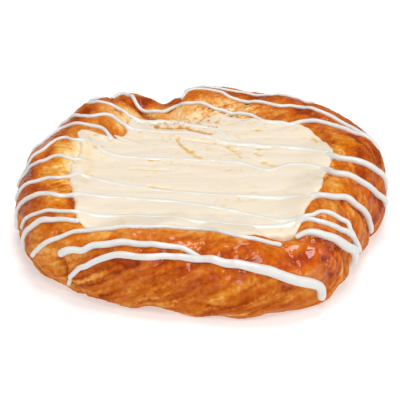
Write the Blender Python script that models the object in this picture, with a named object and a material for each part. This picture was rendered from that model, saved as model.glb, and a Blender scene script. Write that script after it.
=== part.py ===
"""A cheese danish: a twisted rope of laminated dough closed into a rounded square,
a pool of sweet cream cheese in the middle, and lines of white icing piped across both.

The pastry rests on the plane z = 0 with its centre above the origin. +X is to the right
and -Y is the front. Lengths are in millimetres up to the point where a mesh is made.
"""

import math

import bmesh
import bpy
from mathutils import Vector, noise
from mathutils.bvhtree import BVHTree

MM = 0.001
# brings the middle of the pastry above the origin
ORIGIN_SHIFT = Vector((-1.63, 0.64, 0.0))

# Dough rope seen from above: a superellipse, then swells and hollows left by the hand
HALF_WIDTH = 57.0
HALF_DEPTH = 49.8
OUTLINE_POWER = 2.45
# bearing in degrees from +X, outward swell in mm, spread in degrees
OUTLINE_SWELLS = (
    (16.0, 2.5, 18.0),
    (48.0, 1.0, 20.0),
    (82.0, 1.0, 12.0),
    (104.0, -2.5, 8.0),
    (122.0, 1.0, 12.0),
    (152.0, -5.0, 16.0),
    (175.0, -2.5, 14.0),
    (199.0, -2.5, 12.0),
    (234.0, -2.5, 19.0),
    (290.0, 3.5, 14.0),
    (310.0, 2.0, 12.0),
    (337.0, -3.5, 18.0),
)

# Dough rope cut across
CREST_HEIGHT = 23.5
# bearing in degrees, rise of the crest in mm, spread in degrees
CREST_RISES = (
    (80.0, 1.0, 14.0),
    (104.5, -3.0, 5.5),
    (255.0, -0.5, 30.0),
    (302.0, -3.0, 9.0),
    (330.0, 0.5, 12.0),
)
BELLY_HEIGHT = 9.5
SINK = 2.5
OUTER_HALF = 12.5
INNER_HALF = 11.0
# the rope lies wider inwards at the back, and most where its tail is tucked in
INNER_WIDENING = (
    (50.0, 5.0, 14.0),
    (96.0, 3.0, 22.0),
    (138.0, 7.0, 14.0),
)
SECTION_POWER = 2.25

# Twist of the rope, and the edges of its rolled layers
TWIST_LOBES = 9
TWIST_PER_BEARING = 2.0
LOBE_HEIGHT = 0.4
LAYERS_ROUND = 9
LAYER_HEIGHT = 0.45
# bearing at the crest, lean in degrees of bearing for each degree round the section,
# depth in mm, half-width in mm, first and last angle round the section
FOLDS = (
    (43.5, -0.10, 1.0, 1.5, 30.0, 170.0),
    (64.5, 0.15, 2.0, 1.6, 45.0, 170.0),
    (98.5, 0.05, 1.4, 1.6, 20.0, 110.0),
    (121.0, -0.12, 2.6, 1.6, 30.0, 180.0),
    (215.0, -0.10, 1.5, 1.5, -70.0, 40.0),
    (305.0, -0.20, 1.3, 2.0, -50.0, 110.0),
    (331.0, -0.14, 1.5, 1.9, -60.0, 120.0),
    (334.0, 0.06, 1.2, 1.9, -60.0, 90.0),
)
FOLD_FADE = 30.0
FOLD_ROUNDING = 1.5
UNEVENNESS = 0.9
UNEVEN_LENGTH = 15.0
UNEVEN_TURN = 40.0

# Cream cheese pool
POOL_HALF_WIDTH = 38.5
POOL_HALF_DEPTH = 33.0
POOL_POWER = 3.2
# bearing in degrees, outward reach in mm, spread in degrees
POOL_REACHES = (
    (8.0, 3.5, 14.0),
    (50.0, -5.0, 12.0),
    (68.0, -3.5, 9.0),
    (88.0, -6.0, 8.0),
    (103.0, -5.5, 10.0),
    (120.0, -5.5, 10.0),
    (138.0, -10.5, 8.0),
    (145.0, -6.5, 4.5),
    (170.0, -3.0, 10.0),
    (226.0, 6.0, 11.0),
    (248.0, 4.0, 12.0),
    (268.0, 1.5, 10.0),
    (287.0, 8.5, 10.0),
    (306.0, 8.0, 11.0),
)
WELL_FLOOR = 8.0
PRISM_TOP = 40.0
# degrees, so that no corner of a cutter meets an edge of the dough or of the cheese
CUTTER_TURN = 0.6
GAP = 0.3

# Top of the cheese: level, stroked by a knife, turned up or down to meet the rope
CHEESE_LEVEL = 22.2
CHEESE_LIP = 0.3
CHEESE_SHOULDER = 7.0
STROKE_SPACING = 7.0
STROKE_DEPTH = 0.45
STROKE_MEAN = 0.6
STROKE_WANDER = 2.0
STROKE_GRAIN = (18.0, 9.0)
DENT_GRAIN = (14.0, 10.0)

# Icing: width in mm at the start and at the end of a line, then its way in plan in mm,
# measured outside the crest as if the crust lay flat
ICING_LINES = (
    (1.3, 1.3, ((-4, 46), (6, 42.5), (18.5, 40), (26, 41.5), (38, 36))),
    (1.4, 1.7, ((-5, 37), (-1.5, 41), (5, 40.5), (11.5, 36.5), (25.5, 32.5), (33, 31), (43.5, 24.5),
                (54, 14.5), (58, 12.5))),
    (1.4, 1.6, ((-35, 39), (-30, 39.5), (-24, 42), (-16, 32.5), (-7, 34.5), (0, 33), (15, 30), (27, 25.5),
                (41.5, 22), (51, 16), (58, 11))),
    (1.3, 1.5, ((-36, 36), (-26, 31.5), (-20.5, 27), (-11.5, 25), (6, 20.5), (11, 14.5))),
    (1.4, 1.7, ((-49, 31), (-38, 26.5), (-27, 26), (-21.5, 21), (-4.5, 19), (8.5, 13.5), (29.5, 10),
                (38.5, 6), (45, -0.5), (53.5, -1), (60, 1.5), (65, 1))),
    (1.4, 1.4, ((-57, 16), (-47, 18.5), (-43, 23.5), (-30.5, 20.5), (-26, 13.5))),
    (1.4, 1.8, ((-61, 4), (-48, 7), (-41.5, 13), (-35.5, 10.5), (-30.5, 11), (-28, 6), (-20, 4), (13.5, 1),
                (21.5, -3.5), (29, 0.5), (38.5, -3), (43, -8), (52, -8.5), (61, -6.5), (67, -5))),
    (1.3, 1.3, ((-64, 0), (-51.5, 2.5), (-43.5, 1.5), (-34, 1.5), (-22, 0.5))),
    (1.4, 1.7, ((-67, -8), (-54, -8.5), (-42, -9.5), (-35.5, -6.5), (-29, -9), (1, -16.5), (37, -20),
                (47, -19), (57, -17), (66, -16))),
    (1.4, 1.5, ((-63, -20), (-55.5, -14), (-45.5, -18), (-39.5, -20.5), (-34.5, -18.5), (-22.5, -18.5),
                (-5, -21), (25.5, -31), (37, -29.5), (46, -30), (51, -30.5), (57, -30.5))),
    (1.4, 1.5, ((-63, -27), (-56, -23), (-43.5, -26.5), (-34, -28.5), (-16.5, -28.5), (7, -32.5), (20, -34),
                (32, -32.5), (41, -34), (57, -31.5))),
    (1.6, 1.3, ((-64.5, -29), (-50, -27), (-33.5, -32.5), (-22, -33))),
    (1.8, 2.6, ((28.5, -38), (33, -37), (44, -37.5), (57, -35), (62, -37))),
    (1.4, 1.7, ((-59, -35), (-48, -35.5), (-16, -36.5), (2, -36.5), (14, -41.5), (25, -41.5))),
    (2.2, 1.8, ((-43.5, -40), (-28, -41), (-5, -44.5), (1, -47.5))),
    (1.6, 2.8, ((-50, -48.5), (-35, -45.5), (-24, -45), (-14.5, -47), (4, -48.5), (19, -52), (37, -51),
                (46.5, -55))),
)
# how far the middle of a bead lies above the crust, in widths
ICING_RISE = 0.12

# Fineness of the faceted solids
BEARING_STEPS = 108
OUTER_ANGLES = (-62, -46, -30, -15, 0, 15, 30, 45, 58, 70, 80, 90)
INNER_ANGLES = (100, 111, 124, 142)
UNCUT_MIDDLE = 11.0
INNER_SEARCH = (60.0, 165.0)
SEARCH_STEPS = 14
WALL_STEP = 6
CHEESE_CELL = 3.2
CHEESE_REACH = 52.0
ICING_STEP = 5.0
ICING_ROUNDING = 1
WELD = 0.01 * MM
SHARP_ANGLE = math.radians(40.0)

CRUST_COLOUR = (0.50, 0.17, 0.035, 1.0)
CRUST_ROUGHNESS = 0.45
CHEESE_COLOUR = (0.90, 0.80, 0.62, 1.0)
CHEESE_ROUGHNESS = 0.5


def bump(bearing, bumps):
    """Sum of smooth swells (bearing, amount, spread) at a bearing in degrees."""
    total = 0.0
    for middle, amount, spread in bumps:
        away = (bearing - middle + 180.0) % 360.0 - 180.0
        total += amount * math.exp(-((away / spread) ** 2))
    return total


def superellipse(bearing, half_x, half_y, power):
    """Distance from the centre to a superellipse at a bearing in degrees."""
    angle = math.radians(bearing)
    across = abs(math.cos(angle) / half_x) ** power
    along = abs(math.sin(angle) / half_y) ** power
    return (across + along) ** (-1.0 / power)


def smooth(value):
    """Ease from 0 to 1, held outside that range."""
    value = min(1.0, max(0.0, value))
    return value * value * (3.0 - 2.0 * value)


def signed_power(value, power):
    return math.copysign(abs(value) ** power, value)


def bearing_of(x, y):
    return math.degrees(math.atan2(y, x)) % 360.0


def in_plan(bearing, radius, height):
    angle = math.radians(bearing)
    return Vector((radius * math.cos(angle), radius * math.sin(angle), height))


def reach(bearing):
    """Plan distance from the centre to the rope's widest line."""
    return superellipse(bearing, HALF_WIDTH, HALF_DEPTH, OUTLINE_POWER) + bump(bearing, OUTLINE_SWELLS)


def section(bearing, angle):
    """Distance from the centre, height and outward normal on the smooth rope.

    The angle goes round the section: -90 underneath, 0 outermost, 90 on the crest
    and 180 on the inner side.
    """
    turn = math.radians(angle)
    cos, sin = math.cos(turn), math.sin(turn)
    half = OUTER_HALF if cos > 0 else INNER_HALF + bump(bearing, INNER_WIDENING)
    above = CREST_HEIGHT + bump(bearing, CREST_RISES) - BELLY_HEIGHT
    tall = above if sin > 0 else BELLY_HEIGHT + SINK
    radius = reach(bearing) - OUTER_HALF + half * signed_power(cos, 2.0 / SECTION_POWER)
    height = BELLY_HEIGHT + tall * signed_power(sin, 2.0 / SECTION_POWER)
    normal = Vector((cos / half, sin / tall)).normalized()
    return radius, height, normal


def relief(bearing, angle):
    """Height of the rope's twist, layers, folds and unevenness above the smooth section."""
    phase = angle - TWIST_PER_BEARING * bearing
    lobes = math.cos(math.radians(TWIST_LOBES * bearing - angle))
    layers = abs(math.sin(math.radians(LAYERS_ROUND * phase / 2.0)))
    place = in_plan(bearing, reach(bearing) / UNEVEN_LENGTH, angle / UNEVEN_TURN)
    height = LOBE_HEIGHT * lobes + LAYER_HEIGHT * layers + UNEVENNESS * noise.noise(place)
    for middle, lean, depth, half_width, first, last in FOLDS:
        away = (bearing - middle - lean * (angle - 90.0) + 180.0) % 360.0 - 180.0
        away = math.radians(away) * (reach(bearing) - OUTER_HALF)
        ends = smooth((angle - first) / FOLD_FADE) * smooth((last - angle) / FOLD_FADE)
        height -= depth * ends * math.exp(-abs(away / half_width) ** FOLD_ROUNDING)
    return height


def rope_point(bearing, angle):
    """(distance from the centre, height) on the finished rope."""
    radius, height, normal = section(bearing, angle)
    lift = relief(bearing, angle)
    return radius + normal.x * lift, max(0.0, height + normal.y * lift)


def pool_edge(bearing):
    """Distance from the centre to the pool's outline."""
    return superellipse(bearing, POOL_HALF_WIDTH, POOL_HALF_DEPTH, POOL_POWER) + bump(bearing, POOL_REACHES)


def inner_height(bearing, radius):
    """Height of the rope's inner side at a distance from the centre, closed in on by halving."""
    outer, inner = INNER_SEARCH
    for _ in range(SEARCH_STEPS):
        middle = (outer + inner) / 2.0
        if rope_point(bearing, middle)[0] > radius:
            outer = middle
        else:
            inner = middle
    return rope_point(bearing, middle)[1]


def cheese_height(x, y, seams):
    """Height of the cream cheese, where seams holds the rope's height round the pool's edge."""
    bearing = bearing_of(x, y)
    step = 360.0 / len(seams)
    before = int(bearing / step)
    share = bearing / step - before
    seam = seams[before % len(seams)] * (1.0 - share) + seams[(before + 1) % len(seams)] * share
    inside = smooth((pool_edge(bearing) - math.hypot(x, y)) / CHEESE_SHOULDER)
    wander = STROKE_WANDER * noise.noise(Vector((x / STROKE_GRAIN[0], y / STROKE_GRAIN[1], 3.0)))
    stroke = abs(math.sin(math.pi * (y + wander) / STROKE_SPACING)) - STROKE_MEAN
    dents = noise.noise(Vector((x / DENT_GRAIN[0], y / DENT_GRAIN[1], 7.0)))
    level = CHEESE_LEVEL + STROKE_DEPTH * (stroke + dents)
    return seam + CHEESE_LIP + inside * (level - seam - CHEESE_LIP)


def surface(x, y, seams):
    """Point on the pastry, from the plan with the crust unrolled outside its crest."""
    bearing = bearing_of(x, y)
    distance = math.hypot(x, y)
    before = rope_point(bearing, 90.0)
    if distance < pool_edge(bearing):
        return Vector((x, y, cheese_height(x, y, seams)))
    if distance < before[0]:
        return in_plan(bearing, distance, inner_height(bearing, distance))
    left = distance - before[0]
    for angle in range(90 - WALL_STEP, -91, -WALL_STEP):
        after = rope_point(bearing, angle)
        length = math.dist(before, after)
        if length >= left:
            share = left / length
            radius = before[0] + (after[0] - before[0]) * share
            height = before[1] + (after[1] - before[1]) * share
            return in_plan(bearing, radius, height)
        left -= length
        before = after
    return in_plan(bearing, *before)


def curve_through(points, step):
    """Points about a step apart on a smooth curve through the given plan points."""
    ends = [2 * points[0] - points[1]] + points + [2 * points[-1] - points[-2]]
    curve = []
    for start in range(1, len(points)):
        p0, p1, p2, p3 = ends[start - 1:start + 3]
        count = max(1, round((p2 - p1).length / step))
        for number in range(count):
            t = number / count
            bend = (2 * p0 - 5 * p1 + 4 * p2 - p3) * t + (3 * p1 - p0 - 3 * p2 + p3) * t * t
            curve.append(p1 + ((p2 - p0) + bend) * t * 0.5)
    curve.append(points[-1])
    return curve


def add_mesh(name, made, collection):
    """Object from a bmesh in millimetres, with its faces turned out."""
    for vertex in made.verts:
        vertex.co = (vertex.co + ORIGIN_SHIFT) * MM
    bmesh.ops.recalc_face_normals(made, faces=made.faces)
    bmesh.ops.triangulate(made, faces=made.faces)
    mesh = bpy.data.meshes.new(name)
    made.to_mesh(mesh)
    made.free()
    thing = bpy.data.objects.new(name, mesh)
    collection.objects.link(thing)
    return thing


def make_dough(collection):
    """The whole bun, moulded from a sphere: flat base, the rope round it, and inside
    the rope a plain top that the well cuts away."""
    angles = OUTER_ANGLES + INNER_ANGLES
    rows = len(angles) + 1
    made = bmesh.new()
    bmesh.ops.create_uvsphere(made, u_segments=BEARING_STEPS, v_segments=rows, radius=1.0)
    for vertex in made.verts:
        bearing = bearing_of(vertex.co.x, vertex.co.y)
        up = min(1.0, max(-1.0, vertex.co.z))
        row = round((math.asin(up) / math.pi + 0.5) * rows)
        if row == 0:
            vertex.co = Vector((0.0, 0.0, 0.0))
        elif row == rows:
            vertex.co = Vector((0.0, 0.0, UNCUT_MIDDLE))
        else:
            vertex.co = in_plan(bearing, *rope_point(bearing, angles[row - 1]))
    thing = add_mesh("pastry", made, collection)
    thing.data.shade_smooth()
    return thing


def make_cheese(seams, collection):
    """A block of cream cheese wider than the pool, to be trimmed to its outline."""
    made = bmesh.new()
    cells = round(2.0 * CHEESE_REACH / CHEESE_CELL)
    bmesh.ops.create_grid(made, x_segments=cells, y_segments=cells, size=CHEESE_REACH)
    raised = bmesh.ops.extrude_face_region(made, geom=made.faces[:])["geom"]
    for vertex in made.verts:
        vertex.co.z = WELL_FLOOR
    for vertex in raised:
        if isinstance(vertex, bmesh.types.BMVert):
            vertex.co.z = cheese_height(vertex.co.x, vertex.co.y, seams)
    thing = add_mesh("cheese_filling", made, collection)
    thing.data.shade_smooth()
    return thing


def make_prism(name, inset, floor, collection):
    """Upright block on the pool's outline, moved inwards by the inset."""
    made = bmesh.new()
    bmesh.ops.create_cone(made, cap_ends=True, segments=BEARING_STEPS, radius1=1.0, radius2=1.0, depth=2.0)
    for vertex in made.verts:
        bearing = bearing_of(vertex.co.x, vertex.co.y) + CUTTER_TURN
        height = floor if vertex.co.z < 0.0 else PRISM_TOP
        vertex.co = in_plan(bearing, pool_edge(bearing) - inset, height)
    thing = add_mesh(name, made, collection)
    thing.hide_render = True
    thing.display_type = "WIRE"
    return thing


def facets(thing):
    """An object's faces, to find the nearest point on them."""
    points = [vertex.co for vertex in thing.data.vertices]
    return BVHTree.FromPolygons(points, [face.vertices for face in thing.data.polygons])


def evaluated_mesh(thing):
    """The mesh that an object's curve or modifiers give."""
    bpy.context.view_layer.update()
    return bpy.data.meshes.new_from_object(thing.evaluated_get(bpy.context.evaluated_depsgraph_get()))


def weld(mesh):
    """Merge the vertices that lie at one place."""
    made = bmesh.new()
    made.from_mesh(mesh)
    bmesh.ops.remove_doubles(made, verts=made.verts, dist=WELD)
    made.to_mesh(mesh)
    made.free()


def make_icing(number, widths, way, seams, dough_facets, cheese_facets, collection):
    """One bead of icing, about half sunk in the faceted crust and cheese."""
    plan = curve_through([Vector(point) for point in way], ICING_STEP)
    line = bpy.data.curves.new(f"icing_{number}", "CURVE")
    line.dimensions = "3D"
    line.bevel_depth = 0.5 * MM
    line.bevel_resolution = ICING_ROUNDING
    line.use_fill_caps = True
    spline = line.splines.new("POLY")
    spline.points.add(len(plan) - 1)
    for index, (x, y) in enumerate(plan):
        inside = math.hypot(x, y) < pool_edge(bearing_of(x, y))
        below = cheese_facets if inside else dough_facets
        place, normal, _, _ = below.find_nearest((surface(x, y, seams) + ORIGIN_SHIFT) * MM)
        width = widths[0] + (widths[1] - widths[0]) * index / (len(plan) - 1)
        spline.points[index].co = (place + normal * ICING_RISE * width * MM).to_4d()
        spline.points[index].radius = width
    bead = bpy.data.objects.new(line.name, line)
    collection.objects.link(bead)
    mesh = evaluated_mesh(bead)
    weld(mesh)
    mesh.shade_smooth()
    solid = bpy.data.objects.new(line.name, mesh)
    solid.matrix_world = bead.matrix_world
    collection.objects.link(solid)
    bpy.data.objects.remove(bead)


def add_boolean(thing, operation, operand):
    """Boolean with one object or with all those of a collection."""
    modifier = thing.modifiers.new(operation.lower(), "BOOLEAN")
    modifier.operation = operation
    modifier.solver = "EXACT"
    if isinstance(operand, bpy.types.Collection):
        modifier.operand_type = "COLLECTION"
        modifier.collection = operand
    else:
        modifier.object = operand
    return modifier


def make_material(name, colour, roughness):
    material = bpy.data.materials.new(name)
    material.use_nodes = True
    shader = material.node_tree.nodes["Principled BSDF"]
    shader.inputs["Base Color"].default_value = colour
    shader.inputs["Roughness"].default_value = roughness
    material.diffuse_color = colour
    return material


def main():
    for old in list(bpy.data.objects):
        bpy.data.objects.remove(old)
    parts = bpy.data.collections.new("cheese_danish")
    cutters = bpy.data.collections.new("cutters")
    icing = bpy.data.collections.new("icing")
    for collection in (parts, cutters, icing):
        bpy.context.scene.collection.children.link(collection)

    bearings = [360.0 * step / BEARING_STEPS for step in range(BEARING_STEPS)]
    seams = [inner_height(bearing, pool_edge(bearing)) for bearing in bearings]
    dough = make_dough(parts)
    cheese = make_cheese(seams, parts)
    dough_facets = facets(dough)
    cheese_facets = facets(cheese)
    for number, (first, last, way) in enumerate(ICING_LINES):
        make_icing(number, (first, last), way, seams, dough_facets, cheese_facets, icing)

    for thing in (dough, cheese):
        add_boolean(thing, "UNION", icing)
        joined = evaluated_mesh(thing)
        weld(joined)
        thing.modifiers.clear()
        thing.data = joined
        joined.set_sharp_from_angle(angle=SHARP_ANGLE)
    for bead in list(icing.objects):
        bpy.data.objects.remove(bead)
    bpy.data.collections.remove(icing)

    well = make_prism("well_cutter", -0.5 * GAP, WELL_FLOOR, cutters)
    trim = make_prism("cheese_trim", 0.5 * GAP, WELL_FLOOR + GAP, cutters)
    add_boolean(dough, "DIFFERENCE", well)
    add_boolean(cheese, "INTERSECT", trim)
    dough.data.materials.append(make_material("baked_dough", CRUST_COLOUR, CRUST_ROUGHNESS))
    cheese.data.materials.append(make_material("cream_cheese", CHEESE_COLOUR, CHEESE_ROUGHNESS))


main()
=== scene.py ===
# Cheese danish: a rope of laminated dough round a pool of cream cheese, with piped icing.
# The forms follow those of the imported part. This script gives them their fine surface and finish.

import math

import bpy
import numpy as np
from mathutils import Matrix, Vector, noise


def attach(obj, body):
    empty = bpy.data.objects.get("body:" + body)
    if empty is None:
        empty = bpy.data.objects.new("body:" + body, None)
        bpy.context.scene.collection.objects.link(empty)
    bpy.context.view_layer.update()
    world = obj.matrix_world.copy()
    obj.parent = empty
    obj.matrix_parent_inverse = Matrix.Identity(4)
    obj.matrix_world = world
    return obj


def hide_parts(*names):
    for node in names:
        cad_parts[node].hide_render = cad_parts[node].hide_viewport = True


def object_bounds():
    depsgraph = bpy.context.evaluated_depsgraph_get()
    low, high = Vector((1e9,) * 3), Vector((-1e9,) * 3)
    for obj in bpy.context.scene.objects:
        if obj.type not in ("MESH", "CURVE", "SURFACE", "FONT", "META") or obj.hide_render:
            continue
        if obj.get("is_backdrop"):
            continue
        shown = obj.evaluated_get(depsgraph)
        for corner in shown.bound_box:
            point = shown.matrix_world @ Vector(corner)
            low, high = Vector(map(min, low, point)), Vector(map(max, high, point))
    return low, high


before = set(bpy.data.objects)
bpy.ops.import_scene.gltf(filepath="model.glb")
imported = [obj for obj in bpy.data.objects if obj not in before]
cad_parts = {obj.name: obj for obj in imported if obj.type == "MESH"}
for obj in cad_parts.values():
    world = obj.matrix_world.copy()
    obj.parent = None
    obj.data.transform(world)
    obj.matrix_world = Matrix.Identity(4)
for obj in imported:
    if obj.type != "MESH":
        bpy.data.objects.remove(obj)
cadLow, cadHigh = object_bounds()

mm = 0.001
originShift = (-1.63, 0.64)  # mm, brings the middle of the pastry above the origin
wellFloor = 8.0  # mm, the dough under the cheese
gap = 0.3  # mm, between the dough and the cheese

# The rope of dough, mm and degrees. Bearings go round from +X, angles go round the rope's
# section: -90 underneath, 0 outermost, 90 on the crest, 180 on the inner side.
rope = {
    "halfWidth": 57.0,
    "halfDepth": 49.8,
    "outlinePower": 2.45,
    "swells": ((16, 2.5, 18), (48, 1, 20), (82, 1, 12), (104, -2.5, 8), (122, 1, 12), (152, -5, 16),
               (175, -2.5, 14), (199, -2.5, 12), (234, -2.5, 19), (290, 3.5, 14), (310, 2, 12),
               (337, -3.5, 18)),
    "crest": 23.5,
    "rises": ((80, 1, 14), (104.5, -3, 5.5), (255, -0.5, 30), (302, -3, 9), (330, 0.5, 12)),
    "belly": 9.5,
    "sink": 2.5,
    "outerHalf": 12.5,
    "innerHalf": 11.0,
    "widening": ((50, 5, 14), (96, 3, 22), (138, 7, 14), (149.5, 8, 3.5)),
    "sectionPower": 2.25,
    "lobes": 9,
    "twist": 2.0,
    "lobeHeight": 0.4,
    "layersRound": 9,
    "layerHeight": 0.45,
    # bearing at the crest, lean, depth, half-width, first and last angle
    "folds": ((43.5, -0.10, 1.0, 1.5, 30, 170), (64.5, 0.15, 1.0, 1.4, 45, 170),
              (98.5, 0.05, 1.4, 1.6, 20, 110), (121, -0.12, 2.6, 1.6, 30, 180),
              (215, -0.10, 1.5, 1.5, -70, 40), (305, -0.20, 1.3, 2.0, -50, 110),
              (331, -0.14, 1.5, 1.9, -60, 120), (334, 0.06, 1.2, 1.9, -60, 90)),
    "foldFade": 30.0,
    "foldRounding": 1.5,
    "unevenness": 0.9,
    "unevenLength": 15.0,
    "unevenTurn": 40.0,
}

pool = {
    "halfWidth": 38.5,
    "halfDepth": 33.0,
    "power": 3.2,
    "reaches": (
        (8, 3.5, 14), (50, -5, 12), (68, -3.5, 9), (88, -6, 8), (103, -5.5, 10), (120, -5.5, 10),
        (138, -10.5, 8), (145, -6.5, 4.5), (149.8, -8.8, 2.4), (170, -3, 10), (226, 6, 11), (238, 1.2, 20),
        (248, 4, 12), (268, 1.5, 10), (287, 8.5, 10), (306, 8, 11),
    ),
    "level": 22.2,
    "lip": 0.3,
    "lowestSeam": 21.5,
    "shoulder": 12.0,
    "strokeSpacing": 7.0,
    "strokeDepth": 0.16,
    "strokeMean": 0.6,
    "strokeWander": 3.5,
}


def wrap(degrees):
    return (degrees + 180.0) % 360.0 - 180.0


def swell(bearing, bumps):
    total = np.zeros_like(bearing, dtype=float)
    for middle, amount, spread in bumps:
        total += amount * np.exp(-(wrap(bearing - middle) / spread) ** 2)
    return total


def ease(value):
    value = np.clip(value, 0.0, 1.0)
    return value * value * (3.0 - 2.0 * value)


def signedPower(value, power):
    return np.sign(value) * np.abs(value) ** power


def ovalReach(bearing, halfX, halfY, power):
    turn = np.radians(bearing)
    across = np.abs(np.cos(turn) / halfX) ** power
    along = np.abs(np.sin(turn) / halfY) ** power
    return (across + along) ** (-1.0 / power)


def around(bearing, radius, height):
    turn = np.radians(bearing)
    return np.stack(np.broadcast_arrays(radius * np.cos(turn), radius * np.sin(turn), height), axis=-1)


def grain(points, scale=1.0, seed=0.0):
    # smooth noise from -1 to 1 at points in mm, with lumps of about the given size
    flat = (np.asarray(points) / scale + seed).reshape(-1, 3)
    values = [noise.noise(place) for place in flat.tolist()]
    return np.array(values).reshape(np.asarray(points).shape[:-1])


def ropeReach(bearing):
    return ovalReach(bearing, rope["halfWidth"], rope["halfDepth"], rope["outlinePower"]) + swell(
        bearing, rope["swells"])


def ropeSection(bearing, angle):
    turn = np.radians(angle)
    cos, sin = np.cos(turn), np.sin(turn)
    half = np.where(cos > 0, rope["outerHalf"], rope["innerHalf"] + swell(bearing, rope["widening"]))
    above = rope["crest"] + swell(bearing, rope["rises"]) - rope["belly"]
    tall = np.where(sin > 0, above, rope["belly"] + rope["sink"])
    power = 2.0 / rope["sectionPower"]
    radius = ropeReach(bearing) - rope["outerHalf"] + half * signedPower(cos, power)
    height = rope["belly"] + tall * signedPower(sin, power)
    outward, upward = cos / half, sin / tall
    length = np.hypot(outward, upward)
    return radius, height, outward / length, upward / length


def ropeRelief(bearing, angle):
    phase = angle - rope["twist"] * bearing
    lobes = np.cos(np.radians(rope["lobes"] * bearing - angle))
    layers = np.abs(np.sin(np.radians(rope["layersRound"] * phase / 2.0)))
    place = around(bearing, ropeReach(bearing) / rope["unevenLength"], angle / rope["unevenTurn"])
    lift = rope["lobeHeight"] * lobes + rope["layerHeight"] * layers + rope["unevenness"] * grain(place)
    for middle, lean, depth, halfWidth, first, last in rope["folds"]:
        away = np.radians(wrap(bearing - middle - lean * (angle - 90.0)))
        away = away * (ropeReach(bearing) - rope["outerHalf"])
        ends = ease((angle - first) / rope["foldFade"]) * ease((last - angle) / rope["foldFade"])
        lift = lift - depth * ends * np.exp(-np.abs(away / halfWidth) ** rope["foldRounding"])
    return lift


def ropeSurface(bearing, angle, extra=0.0):
    radius, height, outward, upward = ropeSection(bearing, angle)
    lift = ropeRelief(bearing, angle) + extra
    return radius + outward * lift, np.maximum(0.0, height + upward * lift)


def poolEdge(bearing):
    return ovalReach(bearing, pool["halfWidth"], pool["halfDepth"], pool["power"]) + swell(
        bearing, pool["reaches"])


def innerAngle(bearing, radius):
    # section angle at which the rope's inner side is at a distance from the middle
    outer = np.full_like(bearing, 60.0)
    inner = np.full_like(bearing, 165.0)
    for _ in range(14):
        middle = (outer + inner) / 2.0
        outside = ropeSurface(bearing, middle)[0] > radius
        outer = np.where(outside, middle, outer)
        inner = np.where(outside, inner, middle)
    return (outer + inner) / 2.0


seamBearings = np.arange(0.0, 361.0, 1.0)
seamHeights = ropeSurface(seamBearings, innerAngle(seamBearings, poolEdge(seamBearings)))[1]
seamHeights = np.maximum(seamHeights, pool["lowestSeam"])


def cheeseLevel(x, y):
    # height of the cream cheese, before its marks
    bearing = np.degrees(np.arctan2(y, x)) % 360.0
    seam = np.interp(bearing, seamBearings, seamHeights)
    inside = ease((poolEdge(bearing) - np.hypot(x, y)) / pool["shoulder"])
    wander = pool["strokeWander"] * grain(np.stack((x / 18.0, y / 9.0, np.full_like(x, 3.0)), axis=-1))
    stroke = np.abs(np.sin(np.pi * (y + wander) / pool["strokeSpacing"])) - pool["strokeMean"]
    dents = grain(np.stack((x / 14.0, y / 10.0, np.full_like(x, 7.0)), axis=-1))
    level = pool["level"] + pool["strokeDepth"] * (stroke + dents)
    return seam + pool["lip"] + inside * (level - seam - pool["lip"])


def hexColour(text):
    # sRGB hex to the linear values that the shader takes
    values = [int(text[start:start + 2], 16) / 255.0 for start in (0, 2, 4)]
    linear = [value / 12.92 if value <= 0.04045 else ((value + 0.055) / 1.055) ** 2.4 for value in values]
    return (*linear, 1.0)


def setSockets(tree, node, values):
    # links and plain values; a node given as a value stands for its first output in use
    for name, value in values.items():
        if isinstance(value, bpy.types.Node):
            value = next(output for output in value.outputs if output.enabled)
        if isinstance(value, bpy.types.NodeSocket):
            tree.links.new(value, node.inputs[name])
        else:
            node.inputs[name].default_value = value


def addNode(tree, kind, settings=None, inputs=None):
    # a node with its settings, its values and its links
    node = tree.nodes.new(kind)
    for name, value in (settings or {}).items():
        if name == "stops":
            ramp = node.color_ramp
            while len(ramp.elements) < len(value):
                ramp.elements.new(0.5)
            for element, (position, colour) in zip(ramp.elements, value):
                element.position = position
                element.color = hexColour(colour)
        else:
            setattr(node, name, value)
    setSockets(tree, node, inputs or {})
    return node


def newMaterial(name):
    material = bpy.data.materials.new(name)
    material.use_nodes = True
    tree = material.node_tree
    return material, tree, tree.nodes["Principled BSDF"]


def roughen(tree, place, size, detail, strength, depth):
    # a bump from noise, with the size of its lumps and its depth in mm
    lumps = addNode(tree, "ShaderNodeTexNoise", inputs={
        "Vector": place, "Scale": 1.0 / (size * mm), "Detail": detail})
    return addNode(tree, "ShaderNodeBump", inputs={
        "Height": lumps, "Strength": strength, "Distance": depth * mm})


def newObject(name, data):
    thing = bpy.data.objects.new(name, data)
    bpy.context.collection.objects.link(thing)
    return thing


def keepInside(points):
    # eases points in mm back inside the part's box, over the last stretch before each of its sides
    margin = 0.7
    high = np.array(cadHigh) / mm - margin
    low = np.array(cadLow) / mm + margin
    low[2] = -margin
    above = np.maximum(0.0, points - high)
    below = np.maximum(0.0, low - points)
    points = points - above + 0.96 * margin * (1.0 - np.exp(-above / margin))
    return points + below - 0.96 * margin * (1.0 - np.exp(-below / margin))


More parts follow.
